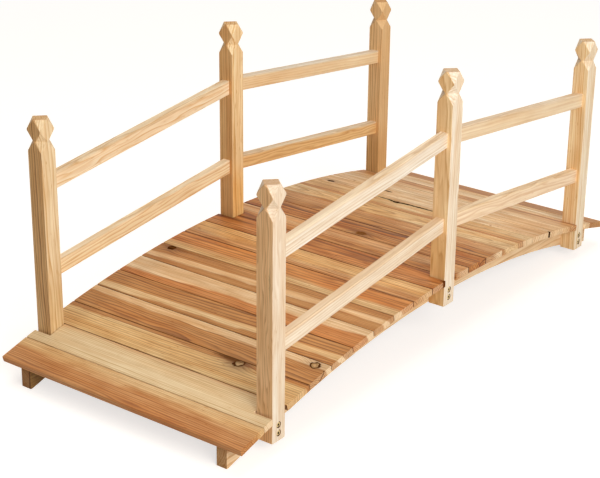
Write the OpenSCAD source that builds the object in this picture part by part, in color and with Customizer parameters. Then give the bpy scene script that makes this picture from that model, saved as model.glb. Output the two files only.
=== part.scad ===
// Garden moon bridge: two arched stringers carry a deck of cross planks.
// Three posts a side stand in notches in the deck and hold two rails a bay.
// X runs along the bridge, Y across it (+Y is the left side), Z up from the ground.

/* [Deck] */
// Number of planks in the deck
plank_count = 20; // [16:2:22]
// Width of one plank, along the arch
plank_w = 72.8; // [62:0.1:80]
// Gap between neighbouring planks
plank_gap = 1.6; // [0.5:0.1:5]
// Thickness of a plank
plank_t = 14; // [10:0.5:20]
// Length of a plank, the full width of the bridge
plank_l = 640; // [500:1:800]
// Eased edge along each plank
plank_ease = 1.2; // [0.2:0.1:3]

/* [Arch] */
// Radius of the arch along the top of the deck
arch_r = 2750; // [2400:10:3400]
// Height of the deck's crown above the ground
crown_h = 160; // [145:1:220]

/* [Stringers] */
// Thickness of a stringer
stringer_t = 25; // [18:0.5:40]
// Depth of a stringer at the crown
stringer_d = 48; // [38:0.5:60]
// Distance from the deck's end back to a stringer's end
stringer_back = 12; // [4:0.5:40]
// Length of the flat foot at each end of a stringer
foot_l = 5; // [3:0.5:40]

/* [Posts] */
// Width of a square post
post_w = 40; // [30:0.5:50]
// Height of a post's shoulder above the deck
post_h = 397; // [380:1:500]
// How far a post's foot reaches below the stringer at the crown
post_toe = 2; // [0:0.5:8]
// Distance from the plank ends in to a post's outer face
post_inset = 3; // [0:0.5:12]
// Plank, counted from either end, whose inner corners are notched for the end posts
end_post_plank = 2; // [2:1:4]
// Clearance between a post and its notch
notch_clear = 2; // [0.3:0.1:4]
// Eased edge along each corner of a post
post_ease = 1.2; // [0.2:0.1:3]

/* [Finials] */
// Height of each of the three sloping cuts at a post's corner
finial_step = 23.5; // [16:0.5:32]
// Width left on each face where two corner cuts nearly meet
finial_flat = 1.6; // [0.6:0.1:6]

/* [Bolts] */
// Distance between the two bolts of a post, one above the other
bolt_pitch = 18; // [15:0.5:24]
// Diameter of the recess that a bolt's head sits in
bolt_recess_d = 14; // [10:0.5:14.5]
// Depth of that recess
bolt_recess_l = 7; // [3:0.5:14]
// Diameter of the hole for a bolt's shank
bolt_hole_d = 6.5; // [4:0.1:9]

/* [Rails] */
// Thickness of a rail
rail_t = 20; // [14:0.5:28]
// Depth of a rail
rail_h = 33; // [22:0.5:50]
// Height of the upper rail's top edge above the deck
upper_rail_z = 338.5; // [300:0.5:360]
// Height of the lower rail's top edge above the deck
lower_rail_z = 144.5; // [100:0.5:220]
// Eased edge along each rail
rail_ease = 1.2; // [0.2:0.1:3]

/* [Hidden] */
// Segments of the large arcs, fine enough that each chord is under a plank wide
arc_fn = 720;
// Reach of a cutting block past the piece that it cuts
cut_over = 5;

plank_pitch = plank_w + plank_gap;
arch_z = crown_h - arch_r;
deg_per_mm = 180 / PI / arch_r;

// Angle of a plank from the crown, and the height of the deck's top at a place along it
function plank_angle(i) = (i - (plank_count - 1) / 2) * plank_pitch * deg_per_mm;
function deck_z(x) = arch_z + sqrt(arch_r * arch_r - x * x);

// Ends of the deck and of the stringers
end_angle = plank_angle(plank_count - 1);
deck_half = arch_r * sin(end_angle) + plank_w / 2 * cos(end_angle);
stringer_half = deck_half - stringer_back;

// The underside is an arc from foot to foot, a stringer's depth below the planks at the crown
under_h = crown_h - plank_t - stringer_d;
foot_x = stringer_half - foot_l;
under_r = (foot_x * foot_x + under_h * under_h) / (2 * under_h);

// End posts stand against the plank next inward from the one that is notched for them
inner_angle = plank_angle(plank_count - 1 - end_post_plank);
end_post_x = arch_r * sin(inner_angle) + plank_w / 2 * cos(inner_angle) + notch_clear + post_w / 2;
post_xs = [-end_post_x, 0, end_post_x];
post_y = plank_l / 2 - post_inset - post_w / 2;
post_below = plank_t + stringer_d + post_toe;
post_shaft = post_below + post_h;

// Bolts pass through a post and its stringer, either side of the stringer's middle
bolt_zs = [for (k = [-1, 1]) post_toe + (stringer_d + k * bolt_pitch) / 2];

// Corner cuts of a finial, measured along the diagonal of the post
corner_r = post_w / sqrt(2);
neck_r = (post_w + finial_flat) / 2 / sqrt(2);
cut_r = 2 * corner_r - neck_r;

places = ["near", "middle", "far"];
sides = ["left", "right"];
levels = ["upper", "lower"];
rail_zs = [upper_rail_z, lower_rail_z];

function side_sign(s) = s == 0 ? 1 : -1;
function stringer_name(s) = str(sides[s], "_stringer");
function post_name(s, p) = str(sides[s], "_", places[p], "_post");
function rail_name(s, b, l) = str(sides[s], b == 0 ? "_near_" : "_far_", levels[l], "_rail");
function plank_name(i) = str("deck_plank_", i < 9 ? "0" : "", i + 1);

// Rectangle with its corners eased, standing on the X axis
module eased_rect(w, h, ease) {
    polygon([
        [-w / 2 + ease, 0], [w / 2 - ease, 0], [w / 2, ease], [w / 2, h - ease],
        [w / 2 - ease, h], [-w / 2 + ease, h], [-w / 2, h - ease], [-w / 2, ease]
    ]);
}

// Extrudes an outline drawn in X and Z along Y, centred on it
module across(l) {
    rotate([90, 0, 0]) linear_extrude(l, center = true) children();
}

// Side view of a stringer: arc above, flatter arc below, upright ends on flat feet
module stringer_outline() {
    difference() {
        intersection() {
            translate([0, arch_z]) circle(r = arch_r - plank_t, $fn = arc_fn);
            translate([-stringer_half, 0]) square([2 * stringer_half, crown_h]);
        }
        translate([0, under_h - under_r]) circle(r = under_r, $fn = arc_fn);
    }
}

// Two round cuts along Y at the bolts of the post at x, centred on the plane Y = 0
module bolt_holes(x, d, l) {
    for (z = bolt_zs)
        translate([x, 0, deck_z(x) - post_below + z])
            rotate([90, 0, 0]) cylinder(d = d, h = l, center = true);
}

// A stringer lies against the inner faces of its posts, which are bolted to it
module stringer(s) {
    y = post_y - post_w / 2 - stringer_t / 2;
    color("burlywood") translate([0, side_sign(s) * y, 0])
        difference() {
            across(stringer_t) stringer_outline();
            for (x = post_xs) bolt_holes(x, bolt_hole_d, stringer_t + 2 * cut_over);
        }
}

// Square notch through a plank at angle a, wide enough for the upright post at x to pass
module post_notch(a, x, s) {
    lean = plank_t * tan(a);
    low = (x - post_w / 2 - arch_r * sin(a)) / cos(a) + min(0, lean) - notch_clear;
    high = (x + post_w / 2 - arch_r * sin(a)) / cos(a) + max(0, lean) + notch_clear;
    inner_y = post_y - post_w / 2 - notch_clear;
    if (low < plank_w / 2 && high > -plank_w / 2)
        scale([1, side_sign(s), 1])
            translate([low, inner_y, -cut_over])
                cube([high - low, plank_l / 2 - inner_y + cut_over, plank_t + 2 * cut_over]);
}

// A flat plank lies on the arch at its own angle
module deck_plank(i) {
    a = plank_angle(i);
    color(i % 2 == 0 ? "peru" : "burlywood")
        translate([0, 0, arch_z]) rotate([0, a, 0]) translate([0, 0, arch_r - plank_t])
            difference() {
                across(plank_l) eased_rect(plank_w, plank_t, plank_ease);
                for (x = post_xs, s = [0, 1]) post_notch(a, x, s);
            }
}

// V cut at one corner of a finial, and the sloping cut above it
module corner_cut() {
    across(2 * post_w)
        polygon([[neck_r, finial_step], [cut_r, 3 * finial_step], [cut_r, -finial_step]]);
    across(2 * post_w)
        polygon([[neck_r, 3 * finial_step], [cut_r, 3 * finial_step + cut_over],
                 [cut_r, finial_step]]);
}

// A square post whose four corners are cut to a faceted finial
module post_blank() {
    difference() {
        linear_extrude(post_shaft + 3 * finial_step)
            translate([0, -post_w / 2]) eased_rect(post_w, post_w, post_ease);
        for (a = [45 : 90 : 315])
            translate([0, 0, post_shaft]) rotate([0, 0, a]) corner_cut();
    }
}

// A post is drilled for its bolts, with recesses for their heads in its outer face
module post(s, p) {
    x = post_xs[p];
    outer_y = side_sign(s) * post_w / 2;
    color("wheat") translate([0, side_sign(s) * post_y, 0])
        difference() {
            translate([x, 0, deck_z(x) - post_below]) post_blank();
            bolt_holes(x, bolt_hole_d, post_w + 2 * cut_over);
            translate([0, outer_y, 0]) bolt_holes(x, bolt_recess_d, 2 * bolt_recess_l);
        }
}

// A straight rail between two posts, cut upright where it meets them
module rail(s, b, l) {
    x1 = post_xs[b];
    x2 = post_xs[b + 1];
    z1 = deck_z(x1) + rail_zs[l];
    z2 = deck_z(x2) + rail_zs[l];
    pitch = x2 - x1;
    reach = sqrt(pitch * pitch + (z2 - z1) * (z2 - z1));
    color("navajowhite") intersection() {
        translate([x1 + post_w / 2, side_sign(s) * post_y - post_w / 2, 0])
            cube([pitch - post_w, post_w, crown_h + post_h]);
        translate([x1, side_sign(s) * post_y, z1]) rotate([0, -atan2(z2 - z1, pitch), 0])
            rotate([90, 0, 90]) linear_extrude(reach)
                translate([0, -rail_h]) eased_rect(rail_t, rail_h, rail_ease);
    }
}

for (s = [0, 1]) {
    stringer(s);
    for (p = [0 : 2])
        post(s, p);
    for (b = [0, 1], l = [0, 1])
        rail(s, b, l);
}
for (i = [0 : plank_count - 1])
    deck_plank(i);
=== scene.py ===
import math
from collections import namedtuple
from functools import partial

import bpy
from mathutils import Matrix, Vector


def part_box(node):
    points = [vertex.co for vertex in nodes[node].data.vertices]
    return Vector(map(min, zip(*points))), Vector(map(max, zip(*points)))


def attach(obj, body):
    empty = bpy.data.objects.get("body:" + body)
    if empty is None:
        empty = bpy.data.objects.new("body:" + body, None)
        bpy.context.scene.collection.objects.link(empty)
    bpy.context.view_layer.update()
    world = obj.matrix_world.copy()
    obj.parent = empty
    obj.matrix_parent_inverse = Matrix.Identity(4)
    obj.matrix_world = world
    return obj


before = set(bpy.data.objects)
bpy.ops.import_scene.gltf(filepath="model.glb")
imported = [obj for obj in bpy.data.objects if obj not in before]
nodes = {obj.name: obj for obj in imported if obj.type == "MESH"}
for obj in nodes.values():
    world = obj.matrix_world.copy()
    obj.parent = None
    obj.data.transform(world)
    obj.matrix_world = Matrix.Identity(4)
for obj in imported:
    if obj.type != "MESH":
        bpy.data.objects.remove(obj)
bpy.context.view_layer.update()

# Frame: X along the bridge to its far end, Y across to the left railing, Z up, in metres
MM = 0.001
SIDES = {"left": 1, "right": -1}
PLACES = ("near", "middle", "far")
BAYS = ("near", "far")

# Driving sizes of the bridge, the same as in the part's source
ARCH_RADIUS = 2.750
PLANK_THICK = 0.014
PLANK_WIDE = 0.0728
STRINGER_THICK = 0.025
STRINGER_DEPTH = 0.048
POST_TOE = 0.002
BOLT_PITCH = 0.018
BOLT_RECESS = 0.007


def linear(code):
    """An sRGB hex colour such as "#E0BF8C" as linear RGBA."""
    parts = [int(code[i:i + 2], 16) / 255 for i in (1, 3, 5)]
    return (*[p / 12.92 if p <= 0.04045 else ((p + 0.055) / 1.055) ** 2.4 for p in parts], 1.0)


def add(tree, kind, feeds=(), **settings):
    """Adds a node with its settings. Feeds go to its inputs in order, or by name or number in a dict.
    A feed is a value, a socket, or a node whose first output is meant."""
    made = tree.nodes.new(kind)
    for name, value in settings.items():
        setattr(made, name, value)
    for key, value in feeds.items() if isinstance(feeds, dict) else enumerate(feeds):
        if isinstance(value, bpy.types.Node):
            value = value.outputs[0]
        if isinstance(value, bpy.types.NodeSocket):
            tree.links.new(value, made.inputs[key])
        else:
            made.inputs[key].default_value = value
    return made


def new_tree(name, kind, inputs, outputs):
    """An empty node group with its named sockets, and the node that gives its inputs."""
    tree = bpy.data.node_groups.new(name, kind)
    for direction, sockets in (("INPUT", inputs), ("OUTPUT", outputs)):
        for label, (socket, start) in sockets.items():
            made = tree.interface.new_socket(label, in_out=direction, socket_type="NodeSocket" + socket)
            if start is not None:
                made.default_value = start
    return tree, tree.nodes.new("NodeGroupInput").outputs


# Kinds of node that are used often, and the sockets of a colour mix
MATHS, VECTOR, SPLIT = "ShaderNodeMath", "ShaderNodeVectorMath", "ShaderNodeSeparateXYZ"
JOIN, RANGE, NOISE = "ShaderNodeCombineXYZ", "ShaderNodeMapRange", "ShaderNodeTexNoise"
MIX = "ShaderNodeMix"
MIX_SHARE, MIX_FIRST, MIX_SECOND, MIX_COLOUR = 0, 6, 7, 2

# Sawn softwood, planed and left bare: yearly rings round a pith outside the board, reddish heartwood
# beside cream sapwood, fibres and resin canals along the grain, knots that the rings flow round,
# drying checks, and end grain that drinks in the light. It has only a faint satin sheen.
# A board has X along its grain, Y across its face and Z out of it, and sizes on it are in mm.
# What a board doesn't have, such as a knot, is put far off.
FAR_OFF = (9000.0, 0.0, 1.0)
WOOD_INPUTS = {
    "Board": ("Vector", (0, 0, 0)),
    "Facing": ("Vector", (0, 0, 1)),
    "Seed": ("Vector", (0, 0, 0)),
    "Pith": ("Vector", (0, 20, -60)),
    "Ring width": ("Float", 4.0),
    "Ring taper": ("Float", 0.01),
    "Wander": ("Float", 6.0),
    "Sap centre": ("Float", 0.0),
    "Sap half width": ("Float", 500.0),
    "Sap lean": ("Float", 0.0),
    "Sap slant": ("Float", 0.6),
    "Sap wave": ("Float", 1.0),
    "Sap edge": ("Float", 3.0),
    "Heart early": ("Color", linear("#C58A58")),
    "Heart late": ("Color", linear("#94552C")),
    "Sap early": ("Color", linear("#E3C596")),
    "Sap late": ("Color", linear("#C79C64")),
    "Heart foot": ("Color", linear("#FFFFFF")),
    "Sap foot": ("Color", linear("#FFFFFF")),
    "Knot": ("Vector", FAR_OFF),
    "Knot core": ("Color", linear("#8A5A33")),
    "Knot halo": ("Float", 0.3),
    "Knot rim": ("Float", 0.8),
    "Check": ("Vector", FAR_OFF),
    "Check half width": ("Float", 1.6),
    "Check edge": ("Float", 0.5),
    "Check bend": ("Float", 0.0),
    "Check slant": ("Float", 0.0),
    "Check colour": ("Color", linear("#281002")),
    "Figure": ("Float", 1.0),
    "Edge at": ("Float", FAR_OFF[0]),
    "End bloom": ("Float", 0.0),
    "End stain": ("Color", linear("#E6D5C3")),
    "Drilled": ("Vector", (0, 0, 0)),
}
WOOD_OUTPUTS = {"Colour": ("Color", None), "Roughness": ("Float", None), "Gloss": ("Float", None),
                "Height": ("Float", None)}

# Sizes of the patterns along the grain, across it and through the board, and their detail. Real fibres
# and resin canals are too fine to show, so the fibres and flecks are drawn coarser than that.
GRAIN = {
    "wander": ((260, 34, 34), 2.0),
    "ripple": ((110, 13, 13), 1.0),
    "blush": ((300, 24, 24), 2.0),
    "mottle": ((85, 20, 20), 3.0),
    "streak": ((330, 5, 5), 3.0),
    "fibre": ((60, 1.4, 1.4), 2.0),
    "fleck": ((16, 2.4, 2.4), 0.0),
    "knot edge": ((9, 9, 9), 1.0),
}
NOISE_MEAN = 0.5
RIPPLE_SHARE = 0.5

# Rings: the growth over which they widen and narrow, by how many years, how dark each part of a year is,
# the shade of the palest year, and how far they bulge at a knot, in its radii
RING_DRIFT = 22.0
DRIFT_YEARS = 2.0
RING_SHADES = ((0.35, 0.05), (0.70, 0.60), (0.86, 1.0))
PALEST_YEAR = 0.4
RING_BULGE = 1.4

# Wave of the sapwood's edge with the mottling and with the grain
SAP_MOTTLE = 14.0
SAP_SWAY = 1.6

# Stretch below the middle of a post over which its tone changes towards its foot, as painted light bounced
# from the deck and floor
FOOT_FADE = (-150.0, -20.0)

# How each pattern tones the wood: from where to where in the noise, and the tones there.
# Darker wood is redder, so blue changes most with the tone, and red least.
BLUSH_FADE = (0.42, 0.70)
TONES = {
    "mottle": (0.2, 0.8, -0.24, 0.24),
    "streak": (0.2, 0.8, -0.30, 0.30),
    "fibre": (0.2, 0.8, -0.09, 0.09),
    "fleck": (0.77, 0.86, 0.0, -0.5),
}
TONE_OF_RGB = (0.6, 1.0, 1.5)
DARKEST_TINT = (0.2, 0.2, 0.2)

# Knots: how slim the oval is that the rings flow round, along and across, and the knot itself, the width
# and strength of its own rings, and where its body and rim fade, in shares of its radius
KNOT_FLOW = (0.30, 0.56)
KNOT_SLIM = 0.85
KNOT_RING = 1.6
KNOT_RING_SHARE = 0.5
KNOT_BODY_FADE = (0.88, 1.0)
RIM_INNER_FADE = (0.58, 0.86)
RIM_OUTER_FADE = (1.0, 1.25)

# How far a drying check wanders from its line
CHECK_CROOK = 5.0

# Sawn ends are told by how squarely they face along the grain. Heartwood tears less than sapwood.
END_FACING = (0.6, 0.95)
HEART_TORN = 0.3

# Painted shade along an edge, where the gap beside it shades it, fades in over this stretch, to this share
EDGE_FADE = (-0.4, 0.0)
EDGE_SHADED = 0.8

# Late wood is smoother and ends are rougher. The relief of each part is in mm.
ROUGH_EARLY = 0.60
ROUGH_LATE = -0.10
ROUGH_END = 0.20
SHEEN = 0.3
WOOD_IOR = 1.5
RELIEF_STRENGTH = 0.8
FIBRE_RELIEF = 0.06
LATE_RELIEF = 0.06
RIM_RELIEF = -0.25
CRACK_RELIEF = -1.2

Spot = namedtuple("Spot", "along across out noise sway")
Knot = namedtuple("Knot", "nearness bulge distance share")


def board_spot(put, given):
    """The place on the board in mm, the patterns there in a part of the noise that is this board's own,
    and how far the grain wanders: a slow sway and a finer ripple."""
    place = put(VECTOR, {0: given["Board"], "Scale": 1 / MM}, operation="SCALE")
    along, across, out = put(SPLIT, [place]).outputs
    own = put(VECTOR, [place, given["Seed"]], operation="ADD")
    noise = {}
    for name, (size, detail) in GRAIN.items():
        fitted = put(VECTOR, [own, size], operation="DIVIDE")
        noise[name] = put(NOISE, {"Vector": fitted, "Scale": 1.0, "Detail": detail})
    sway = put(MATHS, [noise["ripple"], RIPPLE_SHARE, noise["wander"]], operation="MULTIPLY_ADD")
    sway = put(MATHS, [sway, NOISE_MEAN * (1 + RIPPLE_SHARE)], operation="SUBTRACT")
    sway = put(MATHS, [sway, given["Wander"]], operation="MULTIPLY")
    return Spot(along, across, out, noise, sway)


def knot_field(put, given, spot):
    """How near the knot is, on a long oval that pushes the rings aside, and how far its middle is, with a
    ragged outline."""
    knot_along, knot_across, radius = put(SPLIT, [given["Knot"]]).outputs
    ahead = put(MATHS, [spot.along, knot_along], operation="SUBTRACT")
    beside = put(MATHS, [spot.across, knot_across], operation="SUBTRACT")
    oval = put(JOIN, [put(MATHS, [ahead, KNOT_FLOW[0]], operation="MULTIPLY"),
                      put(MATHS, [beside, KNOT_FLOW[1]], operation="MULTIPLY")])
    oval = put(VECTOR, [oval], operation="LENGTH").outputs["Value"]
    oval = put(MATHS, [oval, radius], operation="DIVIDE")
    nearness = put(MATHS, [oval, 2.0], operation="POWER")
    nearness = put(MATHS, [math.exp(-1), nearness], operation="POWER")
    bulge = put(MATHS, [nearness, radius], operation="MULTIPLY")
    distance = put(JOIN, [put(MATHS, [ahead, KNOT_SLIM], operation="MULTIPLY"), beside])
    distance = put(VECTOR, [distance], operation="LENGTH").outputs["Value"]
    ragged = put(MATHS, [spot.noise["knot edge"], NOISE_MEAN], operation="SUBTRACT")
    distance = put(MATHS, [ragged, radius, distance], operation="MULTIPLY_ADD")
    share = put(MATHS, [distance, radius], operation="DIVIDE")
    return Knot(nearness, bulge, distance, share)


def yearly_rings(put, given, spot, knot):
    """Share of late wood: each year has a slow rise to dark late wood, then a sharp fall."""
    pith = put(SPLIT, [given["Pith"]]).outputs
    spoke = put(JOIN, {1: put(MATHS, [spot.across, pith[1]], operation="SUBTRACT"),
                       2: put(MATHS, [spot.out, pith[2]], operation="SUBTRACT")})
    radius = put(VECTOR, [spoke], operation="LENGTH").outputs["Value"]
    radius = put(MATHS, [radius, spot.sway], operation="ADD")
    radius = put(MATHS, [knot.bulge, RING_BULGE, radius], operation="MULTIPLY_ADD")
    radius = put(MATHS, [spot.along, given["Ring taper"], radius], operation="MULTIPLY_ADD")
    drift = put(NOISE, {"W": put(MATHS, [radius, RING_DRIFT], operation="DIVIDE"), "Scale": 1.0},
                noise_dimensions="1D")
    year = put(MATHS, [radius, given["Ring width"]], operation="DIVIDE")
    year = put(MATHS, [drift, DRIFT_YEARS, year], operation="MULTIPLY_ADD")
    ring = put("ShaderNodeValToRGB", [put(MATHS, [year], operation="FRACT")])
    stops = ring.color_ramp.elements
    stops[1].color = stops[0].color
    for at, shade in RING_SHADES:
        stops.new(at).color = (shade, shade, shade, 1)
    strength = put("ShaderNodeTexWhiteNoise", {"W": put(MATHS, [year], operation="FLOOR")},
                   noise_dimensions="1D")
    strength = put(RANGE, [strength, 0.0, 1.0, PALEST_YEAR, 1.0])
    return put(MATHS, [ring, strength], operation="MULTIPLY")


def sapwood(put, given, spot):
    """Share of sapwood: one band across the face, with a wavy edge that slants through the board."""
    wave = put(MATHS, [spot.noise["mottle"], NOISE_MEAN], operation="SUBTRACT")
    swayed = put(MATHS, [spot.sway, SAP_SWAY], operation="MULTIPLY")
    wave = put(MATHS, [wave, SAP_MOTTLE, swayed], operation="MULTIPLY_ADD")
    band = put(MATHS, [wave, given["Sap wave"], spot.across], operation="MULTIPLY_ADD")
    band = put(MATHS, [spot.out, given["Sap slant"], band], operation="MULTIPLY_ADD")
    band = put(MATHS, [spot.along, given["Sap lean"], band], operation="MULTIPLY_ADD")
    off = put(MATHS, [band, given["Sap centre"]], operation="SUBTRACT")
    off = put(MATHS, [off], operation="ABSOLUTE")
    off = put(MATHS, [off, given["Sap half width"]], operation="SUBTRACT")
    inside = put(MATHS, [given["Sap edge"], -1.0], operation="MULTIPLY")
    return put(RANGE, [off, inside, given["Sap edge"], 1.0, 0.0], interpolation_type="SMOOTHSTEP")


def early_and_late(put, given, spot, late, sap):
    """Early and late wood of both kinds, which can change in tone towards the foot of a post, as painted
    light bounced from the deck and floor.
    """
    near_foot = put(RANGE, [spot.along, *FOOT_FADE, 1.0, 0.0], interpolation_type="SMOOTHSTEP")
    kinds = {}
    for kind in ("Heart", "Sap"):
        wood = put(MIX, {MIX_SHARE: late, MIX_FIRST: given[kind + " early"],
                         MIX_SECOND: given[kind + " late"]}, data_type="RGBA").outputs[MIX_COLOUR]
        kinds[kind] = put(MIX, {MIX_SHARE: near_foot, MIX_FIRST: wood, MIX_SECOND: given[kind + " foot"]},
                          data_type="RGBA", blend_type="MULTIPLY").outputs[MIX_COLOUR]
    return put(MIX, {MIX_SHARE: sap, MIX_FIRST: kinds["Heart"], MIX_SECOND: kinds["Sap"]},
               data_type="RGBA").outputs[MIX_COLOUR]


def figured(put, given, spot, colour):
    """Slow warm blushes, soft mottling, streaks, fibres and a few dark resin flecks."""
    blush = put(RANGE, [spot.noise["blush"], *BLUSH_FADE])
    blush = put(MATHS, [blush, given["Figure"]], operation="MULTIPLY")
    colour = put(MIX, {MIX_SHARE: blush, MIX_FIRST: colour, MIX_SECOND: linear("#FAEAD4")},
                 data_type="RGBA", blend_type="MULTIPLY").outputs[MIX_COLOUR]
    tone = 0.0
    for name, limits in TONES.items():
        tone = put(MATHS, [tone, put(RANGE, [spot.noise[name], *limits])], operation="ADD")
    tone = put(MATHS, [tone, given["Figure"]], operation="MULTIPLY")
    tint = put(VECTOR, {0: TONE_OF_RGB, "Scale": tone}, operation="SCALE")
    tint = put(VECTOR, [tint, (1.0, 1.0, 1.0)], operation="ADD")
    tint = put(VECTOR, [tint, DARKEST_TINT], operation="MAXIMUM")
    return put(VECTOR, [colour, tint], operation="MULTIPLY")


def knot_marks(put, given, knot, colour):
    """The knot itself: a stain in the wood round it, fine rings inside it, and a dark rim."""
    stain = put(MATHS, [knot.nearness, given["Knot halo"]], operation="MULTIPLY")
    colour = put(MIX, {MIX_SHARE: stain, MIX_FIRST: colour, MIX_SECOND: linear("#5E3618")},
                 data_type="RGBA").outputs[MIX_COLOUR]
    body = put(RANGE, [knot.share, *KNOT_BODY_FADE, 1.0, 0.0], interpolation_type="SMOOTHSTEP")
    ring = put(MATHS, [knot.distance, KNOT_RING], operation="DIVIDE")
    ring = put(MATHS, [ring, 1.0], operation="PINGPONG")
    ring = put(MATHS, [ring, KNOT_RING_SHARE], operation="MULTIPLY")
    wood = put(MIX, {MIX_SHARE: ring, MIX_FIRST: given["Knot core"], MIX_SECOND: linear("#4A2508")},
               data_type="RGBA").outputs[MIX_COLOUR]
    colour = put(MIX, {MIX_SHARE: body, MIX_FIRST: colour, MIX_SECOND: wood},
                 data_type="RGBA").outputs[MIX_COLOUR]
    inner = put(RANGE, [knot.share, *RIM_INNER_FADE], interpolation_type="SMOOTHSTEP")
    outer = put(RANGE, [knot.share, *RIM_OUTER_FADE, 1.0, 0.0], interpolation_type="SMOOTHSTEP")
    rim = put(MATHS, [inner, outer], operation="MULTIPLY")
    dark_rim = put(MATHS, [rim, given["Knot rim"]], operation="MULTIPLY")
    colour = put(MIX, {MIX_SHARE: dark_rim, MIX_FIRST: colour, MIX_SECOND: linear("#461E04")},
                 data_type="RGBA").outputs[MIX_COLOUR]
    return colour, body, rim


def drying_check(put, given, spot, knot, colour):
    """A crack along the grain, widest at its middle. It can bend aside at a knot, and slant through the
    board."""
    check_along, check_across, half_length = put(SPLIT, [given["Check"]]).outputs
    share = put(MATHS, [spot.along, check_along], operation="SUBTRACT")
    share = put(MATHS, [share, half_length], operation="DIVIDE")
    share = put(MATHS, [share, 2.0], operation="POWER")
    opening = put(MATHS, [1.0, share], operation="SUBTRACT")
    opening = put(MATHS, [opening, given["Check half width"]], operation="MULTIPLY")
    aside = put(MATHS, [spot.noise["knot edge"], CHECK_CROOK, spot.across], operation="MULTIPLY_ADD")
    aside = put(MATHS, [aside, CHECK_CROOK * NOISE_MEAN], operation="SUBTRACT")
    aside = put(MATHS, [aside, check_across], operation="SUBTRACT")
    aside = put(MATHS, [knot.bulge, given["Check bend"], aside], operation="MULTIPLY_ADD")
    aside = put(MATHS, [spot.out, given["Check slant"], aside], operation="MULTIPLY_ADD")
    aside = put(MATHS, [aside], operation="ABSOLUTE")
    crack = put(MATHS, [opening, aside], operation="SUBTRACT")
    soft = put(MATHS, [given["Check edge"], -1.0], operation="MULTIPLY")
    crack = put(RANGE, [crack, soft, given["Check edge"]], interpolation_type="SMOOTHSTEP")
    colour = put(MIX, {MIX_SHARE: crack, MIX_FIRST: colour, MIX_SECOND: given["Check colour"]},
                 data_type="RGBA").outputs[MIX_COLOUR]
    return colour, crack


def sawn_ends(put, given, late, sap, hollow, colour):
    """Sawn ends show the rings as dark lines between pale torn fibres, but not in knots and cracks."""
    facing = put(SPLIT, [put(VECTOR, [given["Facing"]], operation="ABSOLUTE")]).outputs
    end = put(RANGE, [facing[0], *END_FACING], interpolation_type="SMOOTHSTEP")
    torn = put(MATHS, [put(MATHS, [1.0, late], operation="SUBTRACT"), end], operation="MULTIPLY")
    for share in (put(RANGE, [sap, 0.0, 1.0, HEART_TORN, 1.0]), given["End bloom"],
                  put(MATHS, [1.0, hollow], operation="SUBTRACT")):
        torn = put(MATHS, [torn, share], operation="MULTIPLY")
    colour = put(MIX, {MIX_SHARE: torn, MIX_FIRST: colour, MIX_SECOND: linear("#FAE0BC")},
                 data_type="RGBA").outputs[MIX_COLOUR]
    return colour, end


def stains_and_shade(put, given, spot, end, colour):
    """Ends can take a stain. Edges of boards laid close together get painted shade where the gaps shade them,
    and drilled holes get the most, painted shade inside them.
    A drilled hole is what lies under the faces of a post between two heights."""
    from_middle = put(MATHS, [spot.across], operation="ABSOLUTE")
    beyond = put(MATHS, [from_middle, given["Edge at"]], operation="SUBTRACT")
    edge = put(RANGE, [beyond, *EDGE_FADE, 0.0, EDGE_SHADED], interpolation_type="SMOOTHSTEP")
    lowest, highest, skin = put(SPLIT, [given["Drilled"]]).outputs
    depth = put(MATHS, [from_middle, put(MATHS, [spot.out], operation="ABSOLUTE")], operation="MAXIMUM")
    hole = put(MATHS, [depth, skin], operation="LESS_THAN")
    for bound in (put(MATHS, [spot.along, lowest], operation="GREATER_THAN"),
                  put(MATHS, [spot.along, highest], operation="LESS_THAN")):
        hole = put(MATHS, [hole, bound], operation="MULTIPLY")
    # An end stain, then painted shade along edges and in drilled holes
    for share, stain in ((end, given["End stain"]), (edge, linear("#7A5234")), (hole, linear("#6E421E"))):
        colour = put(MIX, {MIX_SHARE: share, MIX_FIRST: colour, MIX_SECOND: stain},
                     data_type="RGBA", blend_type="MULTIPLY").outputs[MIX_COLOUR]
    return colour


def sawn_softwood():
    """The node group that every board shares."""
    tree, given = new_tree("sawn softwood", "ShaderNodeTree", WOOD_INPUTS, WOOD_OUTPUTS)
    put = partial(add, tree)
    spot = board_spot(put, given)
    knot = knot_field(put, given, spot)
    late = yearly_rings(put, given, spot, knot)
    sap = sapwood(put, given, spot)
    colour = early_and_late(put, given, spot, late, sap)
    colour = figured(put, given, spot, colour)
    colour, body, rim = knot_marks(put, given, knot, colour)
    colour, crack = drying_check(put, given, spot, knot, colour)
    hollow = put(MATHS, [crack, put(MATHS, [body, rim], operation="MAXIMUM")], operation="MAXIMUM")
    colour, end = sawn_ends(put, given, late, sap, hollow, colour)
    colour = stains_and_shade(put, given, spot, end, colour)

    roughness = put(MATHS, [late, ROUGH_LATE, ROUGH_EARLY], operation="MULTIPLY_ADD")
    roughness = put(MATHS, [end, ROUGH_END, roughness], operation="MULTIPLY_ADD")
    gloss = put(RANGE, [hollow, 0.0, 1.0, SHEEN, 0.0])
    height = put(MATHS, [spot.noise["fibre"], FIBRE_RELIEF], operation="MULTIPLY")
    for part, relief in ((late, LATE_RELIEF), (rim, RIM_RELIEF), (crack, CRACK_RELIEF)):
        height = put(MATHS, [part, relief, height], operation="MULTIPLY_ADD")
    put("NodeGroupOutput", {"Colour": colour, "Roughness": roughness, "Gloss": gloss, "Height": height})
    return tree


SOFTWOOD = sawn_softwood()


def board_place(middle, grain, face):
    """Matrix of a board that has its grain along X and its face towards Z."""
    x_axis = Vector(grain).normalized()
    y_axis = Vector(face).cross(x_axis).normalized()
    turn = Matrix((x_axis, y_axis, x_axis.cross(y_axis))).transposed()
    return Matrix.Translation(middle) @ turn.to_4x4()


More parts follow.
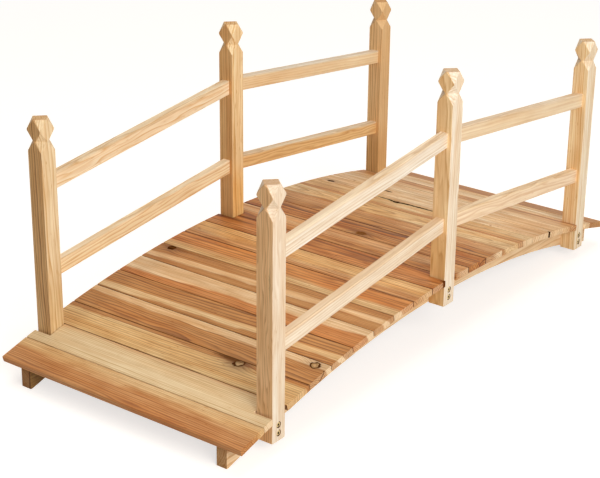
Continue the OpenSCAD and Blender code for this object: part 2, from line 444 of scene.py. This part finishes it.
def dress_board(name, place, **looks):
    """Gives a CAD node softwood of its own, cut from its own place in the log."""
    material = bpy.data.materials.new("planed softwood " + name.replace("_", " "))
    material.use_nodes = True
    tree = material.node_tree
    tree.nodes.clear()
    put = partial(add, tree)
    turn = place.to_euler()
    spot = put("ShaderNodeMapping", {"Vector": put("ShaderNodeTexCoord").outputs["Object"],
                                     "Location": place.translation, "Rotation": turn}, vector_type="TEXTURE")
    facing = put("ShaderNodeVectorRotate", {"Vector": put("ShaderNodeNewGeometry").outputs["True Normal"],
                                            "Rotation": turn}, rotation_type="EULER_XYZ", invert=True)
    wood = put("ShaderNodeGroup", node_tree=SOFTWOOD)
    tree.links.new(spot.outputs[0], wood.inputs["Board"])
    tree.links.new(facing.outputs[0], wood.inputs["Facing"])
    for label, value in looks.items():
        wood.inputs[label.replace("_", " ").capitalize()].default_value = value
    bump = put("ShaderNodeBump", {"Height": wood.outputs["Height"], "Strength": RELIEF_STRENGTH,
                                  "Distance": MM})
    shader = put("ShaderNodeBsdfPrincipled", {
        "Base Color": wood.outputs["Colour"], "Roughness": wood.outputs["Roughness"], "Normal": bump,
        "IOR": WOOD_IOR, "Specular IOR Level": wood.outputs["Gloss"]})
    put("ShaderNodeOutputMaterial", {"Surface": shader})
    nodes[name].data.materials.clear()
    nodes[name].data.materials.append(material)


def tones(kind, early, late):
    """Colours of heartwood or sapwood, early and late in the year."""
    return {kind + "_early": linear(early), kind + "_late": linear(late)}


def sap_band(low, high, lean=0.0):
    """Pale sapwood from low to high across the face, in mm from its middle, leaning along the grain."""
    return {"sap_centre": (low + high) / 2, "sap_half_width": (high - low) / 2, "sap_lean": lean}


# A plank's seed is a step in the noise times its number, and other boards are counted on from these
SEED_STEP = Vector((3700.0, 410.0, 230.0))
POST_SEED, RAIL_SEED, STRINGER_SEED = 30, 50, 60

# Sapwood of a post or stringer starts here, well outside the board
SAP_OUTSIDE = -900

# Deck planks in order from the near end. Along a plank the right end is at 320 mm. Across it the far
# edge is at 36 mm, and sapwood to 90 or -90 runs past the edge.
RED = tones("heart", "#D48F50", "#965324")
BROWN = tones("heart", "#C88E52", "#7D4820")
TAN = tones("heart", "#D8A671", "#9A6336")
AMBER = tones("sap", "#E3BD88", "#AC7A44")
RUSSET = tones("sap", "#DDAB77", "#A16A3C")
CREAM = tones("sap", "#EECB9D", "#C2905B")
PEARL = tones("sap", "#F1D2A8", "#CDA06E")
NO_SAP = sap_band(400, 500)
DARK_KNOT = linear("#3A1A06")
RED_KNOT = linear("#925F34")
PALE_KNOT = linear("#D6B282")
DECK = (
    {**tones("heart", "#C98F57", "#8B512A"), **AMBER, **sap_band(11, 90, 0.01), "sap_edge": 13.0,
     "pith": (0, -60, -40), "end_bloom": 0.0},
    {**TAN, **tones("sap", "#E7CCA0", "#C09960"), **sap_band(-90, 32), "sap_edge": 12.0,
     "pith": (0, -90, -30), "figure": 0.55, "end_bloom": 0.85},
    {**BROWN, **tones("sap", "#E6C188", "#946330"), **sap_band(-90, 24), "pith": (0, 110, -30),
     "ring_width": 5.2, "knot": (150, 27, 11), "knot_core": PALE_KNOT, "knot_halo": 0.8, "knot_rim": 0.95,
     "check": (124, 32, 40), "check_half_width": 5.0, "check_edge": 5.0, "check_colour": linear("#6E4523"),
     "end_bloom": 0.25},
    {**BROWN, **CREAM, **sap_band(14, 90), "pith": (0, -40, -50), "knot": (291, 22, 9),
     "knot_core": linear("#D9AE78"), "knot_rim": 0.95, "check": (322, 13, 6), "check_half_width": 1.6,
     "check_slant": -1.3, "end_bloom": 1.0},
    {**tones("heart", "#C88D50", "#703C17"), **tones("sap", "#E8C490", "#BD8A53"),
     **sap_band(-25, -6, -0.025), "pith": (0, 60, -60), "ring_width": 4.6, "end_bloom": 1.4},
    {**RED, **CREAM, **sap_band(-5, 90, -0.045), "pith": (0, -70, -50), "end_bloom": 1.0},
    {**BROWN, **CREAM, **sap_band(-15, 5, -0.03), "pith": (0, 70, -40), "knot": (-285, 27, 8),
     "knot_core": DARK_KNOT, "knot_halo": 0.7, "check": (-235, 28, 70), "check_half_width": 2.0,
     "check_edge": 6.0, "check_colour": linear("#8A5426"), "end_bloom": 0.9},
    {**tones("heart", "#D79250", "#844416"), **AMBER, **sap_band(-90, -14), "sap_edge": 8.0,
     "pith": (0, 50, -45), "ring_width": 6.5, "figure": 1.3, "end_bloom": 1.3},
    {**TAN, **tones("sap", "#E8B97C", "#A56C33"), **sap_band(-11, 90), "sap_edge": 8.0,
     "pith": (0, -80, -50), "ring_width": 5.5, "figure": 1.5, "end_bloom": 0.5},
    {**tones("heart", "#BE7E44", "#5C2F14"), **tones("sap", "#D09257", "#83491D"), **sap_band(-90, 2),
     "sap_edge": 14.0, "pith": (0, 10, -40), "ring_width": 5.5, "figure": 2.0, "end_bloom": 0.4,
     "knot": (320, 10, 4), "knot_core": linear("#6E3A16"), "knot_rim": 0.2},
    {**BROWN, **RUSSET, **sap_band(-6, 90), "sap_edge": 16.0, "pith": (0, -30, -50), "figure": 1.7},
    {**tones("heart", "#C98A4D", "#623418"), **NO_SAP, "pith": (0, 30, -35), "ring_width": 6.5,
     "knot": (17, -22, 10), "knot_core": RED_KNOT, "knot_halo": 0.65, "knot_rim": 0.0, "figure": 2.2,
     "end_bloom": 0.2},
    {**BROWN, **RUSSET, **sap_band(8, 90), "sap_edge": 22.0, "pith": (0, -20, -55), "figure": 1.3,
     "end_bloom": 1.2},
    {**TAN, **tones("sap", "#ECCA97", "#C08E55"), **sap_band(-28, 90), "pith": (0, 4, -36),
     "ring_taper": 0.05, "figure": 1.6, "end_bloom": 0.35},
    {**TAN, **tones("sap", "#EBC894", "#B5824D"), **sap_band(-19, 90), "sap_edge": 12.0,
     "pith": (0, -80, -30), "ring_width": 9.0, "figure": 1.8, "knot": (-60, 19, 6), "knot_core": DARK_KNOT,
     "check": (-25, 26, 115), "check_half_width": 4.2, "check_bend": 1.2, "end_bloom": 0.9},
    {**TAN, **PEARL, "pith": (0, 80, -45), "ring_width": 8.0, "figure": 1.8, "knot": (-281, -25, 7),
     "knot_core": DARK_KNOT, "check": (-133, 20, 14), "check_half_width": 3.5, "end_bloom": 0.9},
    {**TAN, **PEARL, "pith": (0, -60, -35), "ring_width": 6.0, "figure": 1.6, "knot": (322, -33.5, 6),
     "knot_core": DARK_KNOT, "knot_rim": 0.0, "knot_halo": 0.1},
    {**TAN, **CREAM, **sap_band(-90, -6), "pith": (0, 40, -50), "ring_width": 7.0, "figure": 1.5,
     "end_bloom": 0.3},
    {**TAN, **tones("sap", "#F4D6AC", "#CDA06C"), "pith": (0, 70, -40), "ring_width": 7.0, "figure": 1.7},
    {**BROWN, **NO_SAP, "pith": (0, -40, -45)},
)
PLANK_LOOKS = {"ring_width": 3.8, "ring_taper": 0.012, "wander": 9.0, "end_bloom": 0.6,
               "end_stain": linear("#F8F3EC")}

# Planks 3 to 13 have painted shade along their edges, from the gaps between them, and from plank 9 on it
# covers their eased corners too
SHADED_EDGE_PLANKS = range(3, 14)
WIDE_SHADE_PLANKS = range(9, 14)
WIDE_SHADE_INSET = 0.9
for number, looks in enumerate(DECK, 1):
    name = f"deck_plank_{number:02d}"
    middle = sum(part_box(name), Vector()) / 2
    tilt = math.asin(middle.x / (ARCH_RADIUS - PLANK_THICK / 2))
    up = Vector((math.sin(tilt), 0, math.cos(tilt)))
    edge = PLANK_WIDE / 2 / MM - (WIDE_SHADE_INSET if number in WIDE_SHADE_PLANKS else 0.0)
    dress_board(name, board_place(middle + up * PLANK_THICK / 2, (0, -1, 0), up), **{
        "seed": SEED_STEP * number, "edge_at": edge if number in SHADED_EDGE_PLANKS else FAR_OFF[0],
        **PLANK_LOOKS, **looks})

# Posts stand with their grain upright. The darker side that faces the near end is painted shade, and the
# paler other sides are painted light.
# The colour of a foot is a tint of painted light, as bounced from the deck and floor, and one above 1 makes
# the foot paler.
SCUFF = linear("#8A7A50")
PALER_FOOT = (1.02, 1.06, 1.10, 1.0)
POSTS = {
    "left_near_post": {**tones("heart", "#D7AF7A", "#7F5429"), **tones("sap", "#EED6AE", "#CC9B5A"),
                       "sap_foot": linear("#F0E7D7"), "pith": (0, 62, 58), "ring_width": 5.0,
                       "ring_taper": 0.026},
    "left_middle_post": {**tones("heart", "#DAAC73", "#B78751"), **tones("sap", "#F9DFB2", "#D0994A"),
                         "sap_foot": linear("#FCE5BC"), "pith": (0, 70, 50), "ring_width": 5.2,
                         "ring_taper": 0.006},
    "left_far_post": {**tones("heart", "#EBC38D", "#A97541"), **tones("sap", "#E5BD88", "#D4A66F"),
                      "heart_foot": linear("#E8E1D0"), "sap_foot": linear("#FCF1DF"), "pith": (0, 60, 70),
                      "ring_width": 5.0, "ring_taper": 0.010, "figure": 0.4},
    "right_near_post": {**tones("heart", "#E1B888", "#AF8252"), **tones("sap", "#EBD7BE", "#DABD9B"),
                        "sap_foot": PALER_FOOT, "pith": (0, 64, -60), "ring_width": 3.4,
                        "ring_taper": 0.010, "wander": 26.0, "figure": 0.6,
                        "check": (72, -12, 22), "check_half_width": 0.5, "check_edge": 3.0,
                        "check_colour": SCUFF},
    "right_middle_post": {**tones("heart", "#F5D4A2", "#CF9C5E"), **tones("sap", "#F5E5CE", "#DDBE96"),
                          "heart_foot": linear("#EDDFC7"), "pith": (0, 6, -30), "ring_width": 4.4,
                          "ring_taper": 0.030},
    "right_far_post": {**tones("heart", "#F8DCAE", "#DEAC69"), **tones("sap", "#F6E5CB", "#E0C292"),
                       "pith": (0, 58, 46), "ring_width": 5.0, "ring_taper": 0.012},
}
# Slant of the border between a post's painted shade and its painted light
POST_SHADE_SLANT = 8.0
POST_LOOKS = {"wander": 12.0, "figure": 0.7, "sap_edge": 0.6, "sap_slant": POST_SHADE_SLANT, "sap_wave": 0.05}

# Heights above a post's foot between which it is drilled, and how deep under its faces painted shade darkens
# the holes
DRILLED_FROM = 8
DRILLED_TO = 46
DRILLED_UNDER = 0.6
for number, (name, looks) in enumerate(POSTS.items(), POST_SEED):
    low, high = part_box(name)
    half = (high.x - low.x) / 2 / MM
    foot = (low.z - high.z) / 2 / MM
    dress_board(name, board_place((low + high) / 2, (0, 0, 1), (-1, 0, 0)), **{
        "seed": SEED_STEP * number, "drilled": (foot + DRILLED_FROM, foot + DRILLED_TO, half - DRILLED_UNDER),
        **sap_band(SAP_OUTSIDE, half * (POST_SHADE_SLANT - 1)), **POST_LOOKS, **looks})

# Rails run straight from post to post. Heartwood lies along their tops, which are at -16 mm across a
# left rail and at 16 mm across a right one.
RAILS = {
    "left_near_upper_rail": {**tones("sap", "#FAE4C2", "#E2B273"), **tones("heart", "#EAD3B0", "#CBA370"),
                             "pith": (0, 58, -14), "ring_width": 9.0, "wander": 36.0},
    "left_near_lower_rail": {**tones("sap", "#FEE7BE", "#DFA860"), **tones("heart", "#FCE4BF", "#DDB178"),
                             "pith": (0, -62, -12), "ring_width": 7.5, "wander": 22.0},
    "left_far_upper_rail": {**tones("sap", "#F6DAAF", "#E4BA82"), **tones("heart", "#E4D5BE", "#C6A67F"),
                            "pith": (0, 60, -16), "ring_width": 6.5, "wander": 10.0},
    "left_far_lower_rail": {**tones("sap", "#F5CD90", "#D69A57"), **tones("heart", "#EAD3B2", "#CAA272"),
                            "pith": (0, -58, -14), "ring_width": 8.5, "wander": 26.0},
    "right_near_upper_rail": {**tones("sap", "#F3E6D3", "#D6B690"), **tones("heart", "#EFDABB", "#D7B68F"),
                              "pith": (0, -64, -10), "ring_width": 6.5, "wander": 12.0},
    "right_near_lower_rail": {**tones("sap", "#F2E0C7", "#DBBC97"), **tones("heart", "#EED1AD", "#D8B285"),
                              "pith": (0, 62, -12), "ring_width": 5.5, "wander": 14.0},
    "right_far_upper_rail": {**tones("sap", "#F0D7B3", "#E5C397"), **tones("heart", "#E8D0B0", "#CCA77D"),
                             "pith": (0, -60, -16), "ring_width": 7.0, "wander": 12.0},
    "right_far_lower_rail": {**tones("sap", "#F8DDBB", "#E1B78A"), **tones("heart", "#F7DCB6", "#D8AF7E"),
                             "pith": (0, 58, -14), "ring_width": 8.5, "wander": 28.0},
}
RAIL_LOOKS = {"ring_taper": 0.006, "figure": 0.5, "sap_wave": 0.2, "sap_slant": 0.1}
RAIL_SAP = {"left": (-14, 90), "right": (-90, 14)}
for number, (name, looks) in enumerate(RAILS.items(), RAIL_SEED):
    side, bay = name.split("_")[:2]
    step = BAYS.index(bay)
    start, end = (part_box(f"{side}_{PLACES[step + i]}_post")[1] for i in (0, 1))
    dress_board(name, board_place(sum(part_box(name), Vector()) / 2, end - start, (0, SIDES[side], 0)),
                seed=SEED_STEP * number, **RAIL_LOOKS, **sap_band(*RAIL_SAP[side]), **looks)

# Stringers are sawn from straight boards. The outer face is sapwood, with a border that slants so steeply
# that the
# inner face is dark: painted shade, where the deck shades the inner faces.
STRINGER_LOOKS = {**tones("sap", "#EFD0A6", "#CC9C64"), **tones("heart", "#9A7440", "#70502A"),
                  **sap_band(SAP_OUTSIDE, 420), "sap_slant": -40.0, "pith": (0, -30, -60), "ring_width": 4.6,
                  "ring_taper": 0.01, "wander": 9.0, "figure": 0.8}
STRINGER_ENDS = {"left": linear("#A8907A"), "right": linear("#C8B7A2")}
for number, (side, sign) in enumerate(SIDES.items(), STRINGER_SEED):
    name = f"{side}_stringer"
    middle = sum(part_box(name), Vector()) / 2
    dress_board(name, board_place(middle, (1, 0, 0), (0, sign, 0)),
                seed=SEED_STEP * number, end_stain=STRINGER_ENDS[side], **STRINGER_LOOKS)

# Bolts: yellow zinc plated steel, a bright plating with a pale gold cast, dull and dark with painted shade in
# the sockets.
# A socket head and washer sit in each recess, and a washer and nut on the stringer's inner face.
BOLT_SIZES = {
    "Washer across": 0.0125,
    "Washer thick": 0.0012,
    "Head across": 0.0116,
    "Head height": 0.0052,
    "Head chamfer": 0.0007,
    "Socket across": 0.0062,
    "Socket depth": 0.0034,
    "Shank across": 0.0060,
    "Grip": 0.0,
    "Nut across": 0.0115,
    "Nut height": 0.0050,
    "Spare thread": 0.0030,
}
ROUND_SIDES = 40
HEX_SIDES = 6

# The plating has clouds of about 2.2 mm, and its roughness goes with them as the wood's tones do with
# their patterns. Painted shade darkens a head from one depth under its crown to another, in mm, down to
# a little below its seat, where its recess shades it.
ZINC_CLOUDS_PER_MM = 0.45
ZINC_ROUGH = (0.3, 0.7, 0.28, 0.46)
GREASE_SHEEN = 0.1
RECESS_SHADE_FROM = 0.4
RECESS_SHADE_FULL = 1.6
SEAT_SLACK = 0.1


def yellow_zinc():
    """Cloudy plating, dark with painted shade below the crown of a head, down to the floor of its recess."""
    material = bpy.data.materials.new("yellow zinc plated steel")
    material.use_nodes = True
    tree = material.node_tree
    tree.nodes.clear()
    put = partial(add, tree)
    place = put(VECTOR, {0: put("ShaderNodeTexCoord").outputs["Object"], "Scale": 1 / MM}, operation="SCALE")
    clouds = put(NOISE, {"Vector": place, "Scale": ZINC_CLOUDS_PER_MM, "Detail": 3.0})
    colour = put(MIX, {MIX_SHARE: clouds, MIX_FIRST: linear("#C9A76C"), MIX_SECOND: linear("#EAD6A2")},
                 data_type="RGBA").outputs[MIX_COLOUR]
    from_middle = put(MATHS, [put(SPLIT, [place]).outputs["Y"]], operation="ABSOLUTE")
    floor = (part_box("left_near_post")[1].y - BOLT_RECESS) / MM
    crown = floor + (BOLT_SIZES["Washer thick"] + BOLT_SIZES["Head height"]) / MM
    # Painted shade of the recess, round and inside each head
    dark = put(RANGE, [from_middle, crown - RECESS_SHADE_FULL, crown - RECESS_SHADE_FROM, 1.0, 0.0])
    outside = put(MATHS, [from_middle, floor - SEAT_SLACK], operation="GREATER_THAN")
    dark = put(MATHS, [dark, outside], operation="MULTIPLY")
    colour = put(MIX, {MIX_SHARE: dark, MIX_FIRST: colour, MIX_SECOND: linear("#3A1F08")},
                 data_type="RGBA").outputs[MIX_COLOUR]
    rough = put(RANGE, [clouds, *ZINC_ROUGH])
    bare = put(MATHS, [1.0, dark], operation="SUBTRACT")
    shader = put("ShaderNodeBsdfPrincipled", {"Base Color": colour, "Roughness": rough, "Metallic": bare,
                                              "Specular IOR Level": GREASE_SHEEN})
    put("ShaderNodeOutputMaterial", {"Surface": shader})
    return material


def bolt_tree():
    """A bolt on each point, its head outwards from the middle of the bridge."""
    inputs = {"Places": ("Geometry", None), **{label: ("Float", size) for label, size in BOLT_SIZES.items()},
              "Metal": ("Material", None)}
    tree, given = new_tree("post bolts", "GeometryNodeTree", inputs, {"Bolts": ("Geometry", None)})
    put = partial(add, tree)

    def turned(sides, top, bottom, height, start):
        """A straight or tapered round or six-sided length that starts at a height along the bolt."""
        blank = put("GeometryNodeMeshCone", {"Vertices": sides, "Radius Top": top, "Radius Bottom": bottom,
                                             "Depth": height})
        return put("GeometryNodeTransform", {"Geometry": blank, "Translation": put(JOIN, {2: start})})

    radii = {}
    for label in ("Washer", "Head", "Socket", "Shank", "Nut"):
        radii[label] = put(MATHS, [given[label + " across"], 0.5], operation="MULTIPLY")
    shoulder = put(MATHS, [given["Head height"], given["Head chamfer"]], operation="SUBTRACT")
    crown_r = put(MATHS, [radii["Head"], given["Head chamfer"]], operation="SUBTRACT")
    chamfer_floor = put(MATHS, [given["Washer thick"], shoulder], operation="ADD")
    head_top = put(MATHS, [given["Washer thick"], given["Head height"]], operation="ADD")
    socket_floor = put(MATHS, [head_top, given["Socket depth"]], operation="SUBTRACT")
    under = put(MATHS, [given["Grip"], -1.0], operation="MULTIPLY")
    nut_top = put(MATHS, [under, given["Washer thick"]], operation="SUBTRACT")
    nut_floor = put(MATHS, [nut_top, given["Nut height"]], operation="SUBTRACT")
    tip = put(MATHS, [nut_floor, given["Spare thread"]], operation="SUBTRACT")
    shank = put(MATHS, [given["Washer thick"], tip], operation="SUBTRACT")

    blank = put("GeometryNodeJoinGeometry")
    for length in (turned(ROUND_SIDES, radii["Head"], radii["Head"], shoulder, given["Washer thick"]),
                   turned(ROUND_SIDES, crown_r, radii["Head"], given["Head chamfer"], chamfer_floor)):
        tree.links.new(length.outputs[0], blank.inputs[0])
    whole = put("GeometryNodeMergeByDistance", {"Geometry": blank})
    key = turned(HEX_SIDES, radii["Socket"], radii["Socket"], given["Head height"], socket_floor)
    head = put("GeometryNodeMeshBoolean", {0: whole, 1: key}, operation="DIFFERENCE")
    bolt = put("GeometryNodeJoinGeometry")
    for length in (head,
                   turned(ROUND_SIDES, radii["Washer"], radii["Washer"], given["Washer thick"], 0.0),
                   turned(ROUND_SIDES, radii["Shank"], radii["Shank"], shank, tip),
                   turned(ROUND_SIDES, radii["Washer"], radii["Washer"], given["Washer thick"], nut_top),
                   turned(HEX_SIDES, radii["Nut"], radii["Nut"], given["Nut height"], nut_floor)):
        tree.links.new(length.outputs[0], bolt.inputs[0])

    side = put(SPLIT, [put("GeometryNodeInputPosition")]).outputs["Y"]
    side = put(MATHS, [side], operation="SIGN")
    turn = put(JOIN, [put(MATHS, [side, -math.pi / 2], operation="MULTIPLY")])
    bolts = put("GeometryNodeInstanceOnPoints",
                {"Points": given["Places"], "Instance": bolt, "Rotation": turn})
    bolts = put("GeometryNodeRealizeInstances", [bolts])
    bolts = put("GeometryNodeSetMaterial", {"Geometry": bolts, "Material": given["Metal"]})
    put("NodeGroupOutput", [bolts])
    return tree


def post_bolts():
    """Two bolts a post, seated at the floor of their recesses."""
    seats = []
    for name in POSTS:
        low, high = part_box(name)
        outer = high.y if low.y > 0 else low.y
        for step in (-1, 1):
            seats.append(((low.x + high.x) / 2, outer - math.copysign(BOLT_RECESS, outer),
                          low.z + POST_TOE + (STRINGER_DEPTH + step * BOLT_PITCH) / 2))
    points = bpy.data.meshes.new("post_bolts")
    points.from_pydata(seats, [], [])
    piece = bpy.data.objects.new("post_bolts", points)
    bpy.context.scene.collection.objects.link(piece)
    low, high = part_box("left_near_post")
    sizes = {**BOLT_SIZES, "Grip": high.y - low.y - BOLT_RECESS + STRINGER_THICK, "Metal": yellow_zinc()}
    modifier = piece.modifiers.new("post bolts", "NODES")
    modifier.node_group = bolt_tree()
    for socket in modifier.node_group.interface.items_tree:
        if socket.in_out == "INPUT" and socket.name in sizes:
            modifier[socket.identifier] = sizes[socket.name]
    whole = bpy.data.meshes.new_from_object(piece.evaluated_get(bpy.context.evaluated_depsgraph_get()))
    piece.modifiers.remove(modifier)
    piece.data = whole
    return piece


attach(post_bolts(), "root")

# Camera at the photograph's viewing angle, fitted to the bridge in a picture of 600 by 478 pixels
PICTURE_W = 600
FOCAL_PIXELS = 1623.95
SENSOR_W = 36.0
CAMERA_AT = (-2.8016, -1.9967, 1.6008)
CAMERA_HEADING = math.radians(53.28)
CAMERA_DOWN = math.radians(22.61)
CAMERA_ROLL = math.radians(0.61)

camera_data = bpy.data.cameras.new("photo camera")
camera_data.sensor_width = SENSOR_W
camera_data.lens = SENSOR_W * FOCAL_PIXELS / PICTURE_W
camera = bpy.data.objects.new("photo camera", camera_data)
camera.matrix_world = (
    Matrix.Translation(CAMERA_AT) @ Matrix.Rotation(-CAMERA_HEADING, 4, "Z")
    @ Matrix.Rotation(math.pi / 2 - CAMERA_DOWN, 4, "X") @ Matrix.Rotation(CAMERA_ROLL, 4, "Z"))
bpy.context.scene.collection.objects.link(camera)
bpy.context.scene.camera = camera

# Studio: a wide soft key from the right, a weaker lamp overhead, a warm surround and a pale floor
# that glows a little where the camera sees it, and fades to white far from the bridge
SURROUND_LIGHT = 0.28
FLOOR_HALF = 14.0
FLOOR_GLOW = 0.66
FLOOR_FADE = (2.0, 4.5)


def soft_lamp(name, at, aim, across, watts):
    """A round lamp that faces the place it is aimed at."""
    lamp = bpy.data.lights.new(name, "AREA")
    lamp.shape = "DISK"
    lamp.size = across
    lamp.energy = watts
    stand = bpy.data.objects.new(name, lamp)
    stand.location = at
    stand.rotation_euler = (Vector(aim) - Vector(at)).to_track_quat("-Z", "Y").to_euler()
    bpy.context.scene.collection.objects.link(stand)


soft_lamp("key lamp", at=(-2.0, -3.8, 2.2), aim=(0, 0, 0.25), across=3.2, watts=155)
soft_lamp("overhead lamp", at=(0.2, 0.3, 4.5), aim=(0, 0, 0.1), across=4.0, watts=80)


def shows_white(put):
    """1 for rays that come straight from the camera, or by way of metal or glass."""
    path = put("ShaderNodeLightPath").outputs
    shown = put(MATHS, [path["Is Camera Ray"], path["Is Glossy Ray"]], operation="MAXIMUM")
    return put(MATHS, [shown, path["Is Transmission Ray"]], operation="MAXIMUM")


def white_surround():
    """Dim warm light from all round, and plain white where the camera sees it."""
    world = bpy.data.worlds.new("white surround")
    world.use_nodes = True
    world.node_tree.nodes.clear()
    put = partial(add, world.node_tree)
    light = put("ShaderNodeBackground", [linear("#FFF4E8"), SURROUND_LIGHT])
    white = put("ShaderNodeBackground", [linear("#FFFFFF"), 1.0])
    put("ShaderNodeOutputWorld", [put("ShaderNodeMixShader", [shows_white(put), light, white])])
    bpy.context.scene.world = world


def pale_floor():
    """Warm white paper with the bridge's shadow on it. The camera sees it run into the white surround."""
    corners = [(x * FLOOR_HALF, y * FLOOR_HALF, 0) for x, y in ((-1, -1), (1, -1), (1, 1), (-1, 1))]
    sheet = bpy.data.meshes.new("floor")
    sheet.from_pydata(corners, [], [range(4)])
    floor = bpy.data.objects.new("floor", sheet)
    bpy.context.scene.collection.objects.link(floor)
    paper = bpy.data.materials.new("white paper")
    paper.use_nodes = True
    paper.node_tree.nodes.clear()
    put = partial(add, paper.node_tree)
    matt = put("ShaderNodeBsdfDiffuse", [linear("#CFCAC2")])
    glow = put("ShaderNodeEmission", [linear("#FFFFFF"), FLOOR_GLOW])
    lifted = put("ShaderNodeAddShader", [matt, glow])
    from_bridge = put(VECTOR, [put("ShaderNodeTexCoord").outputs["Object"]], operation="LENGTH")
    far = put(RANGE, [from_bridge.outputs["Value"], *FLOOR_FADE], interpolation_type="SMOOTHSTEP")
    white = put("ShaderNodeEmission", [linear("#FFFFFF"), 1.0])
    shown = put("ShaderNodeMixShader", [far, lifted, white])
    put("ShaderNodeOutputMaterial", [put("ShaderNodeMixShader", [shows_white(put), matt, shown])])
    sheet.materials.append(paper)
    return floor


white_surround()
pale_floor()
bpy.context.scene.view_settings.view_transform = "Standard"
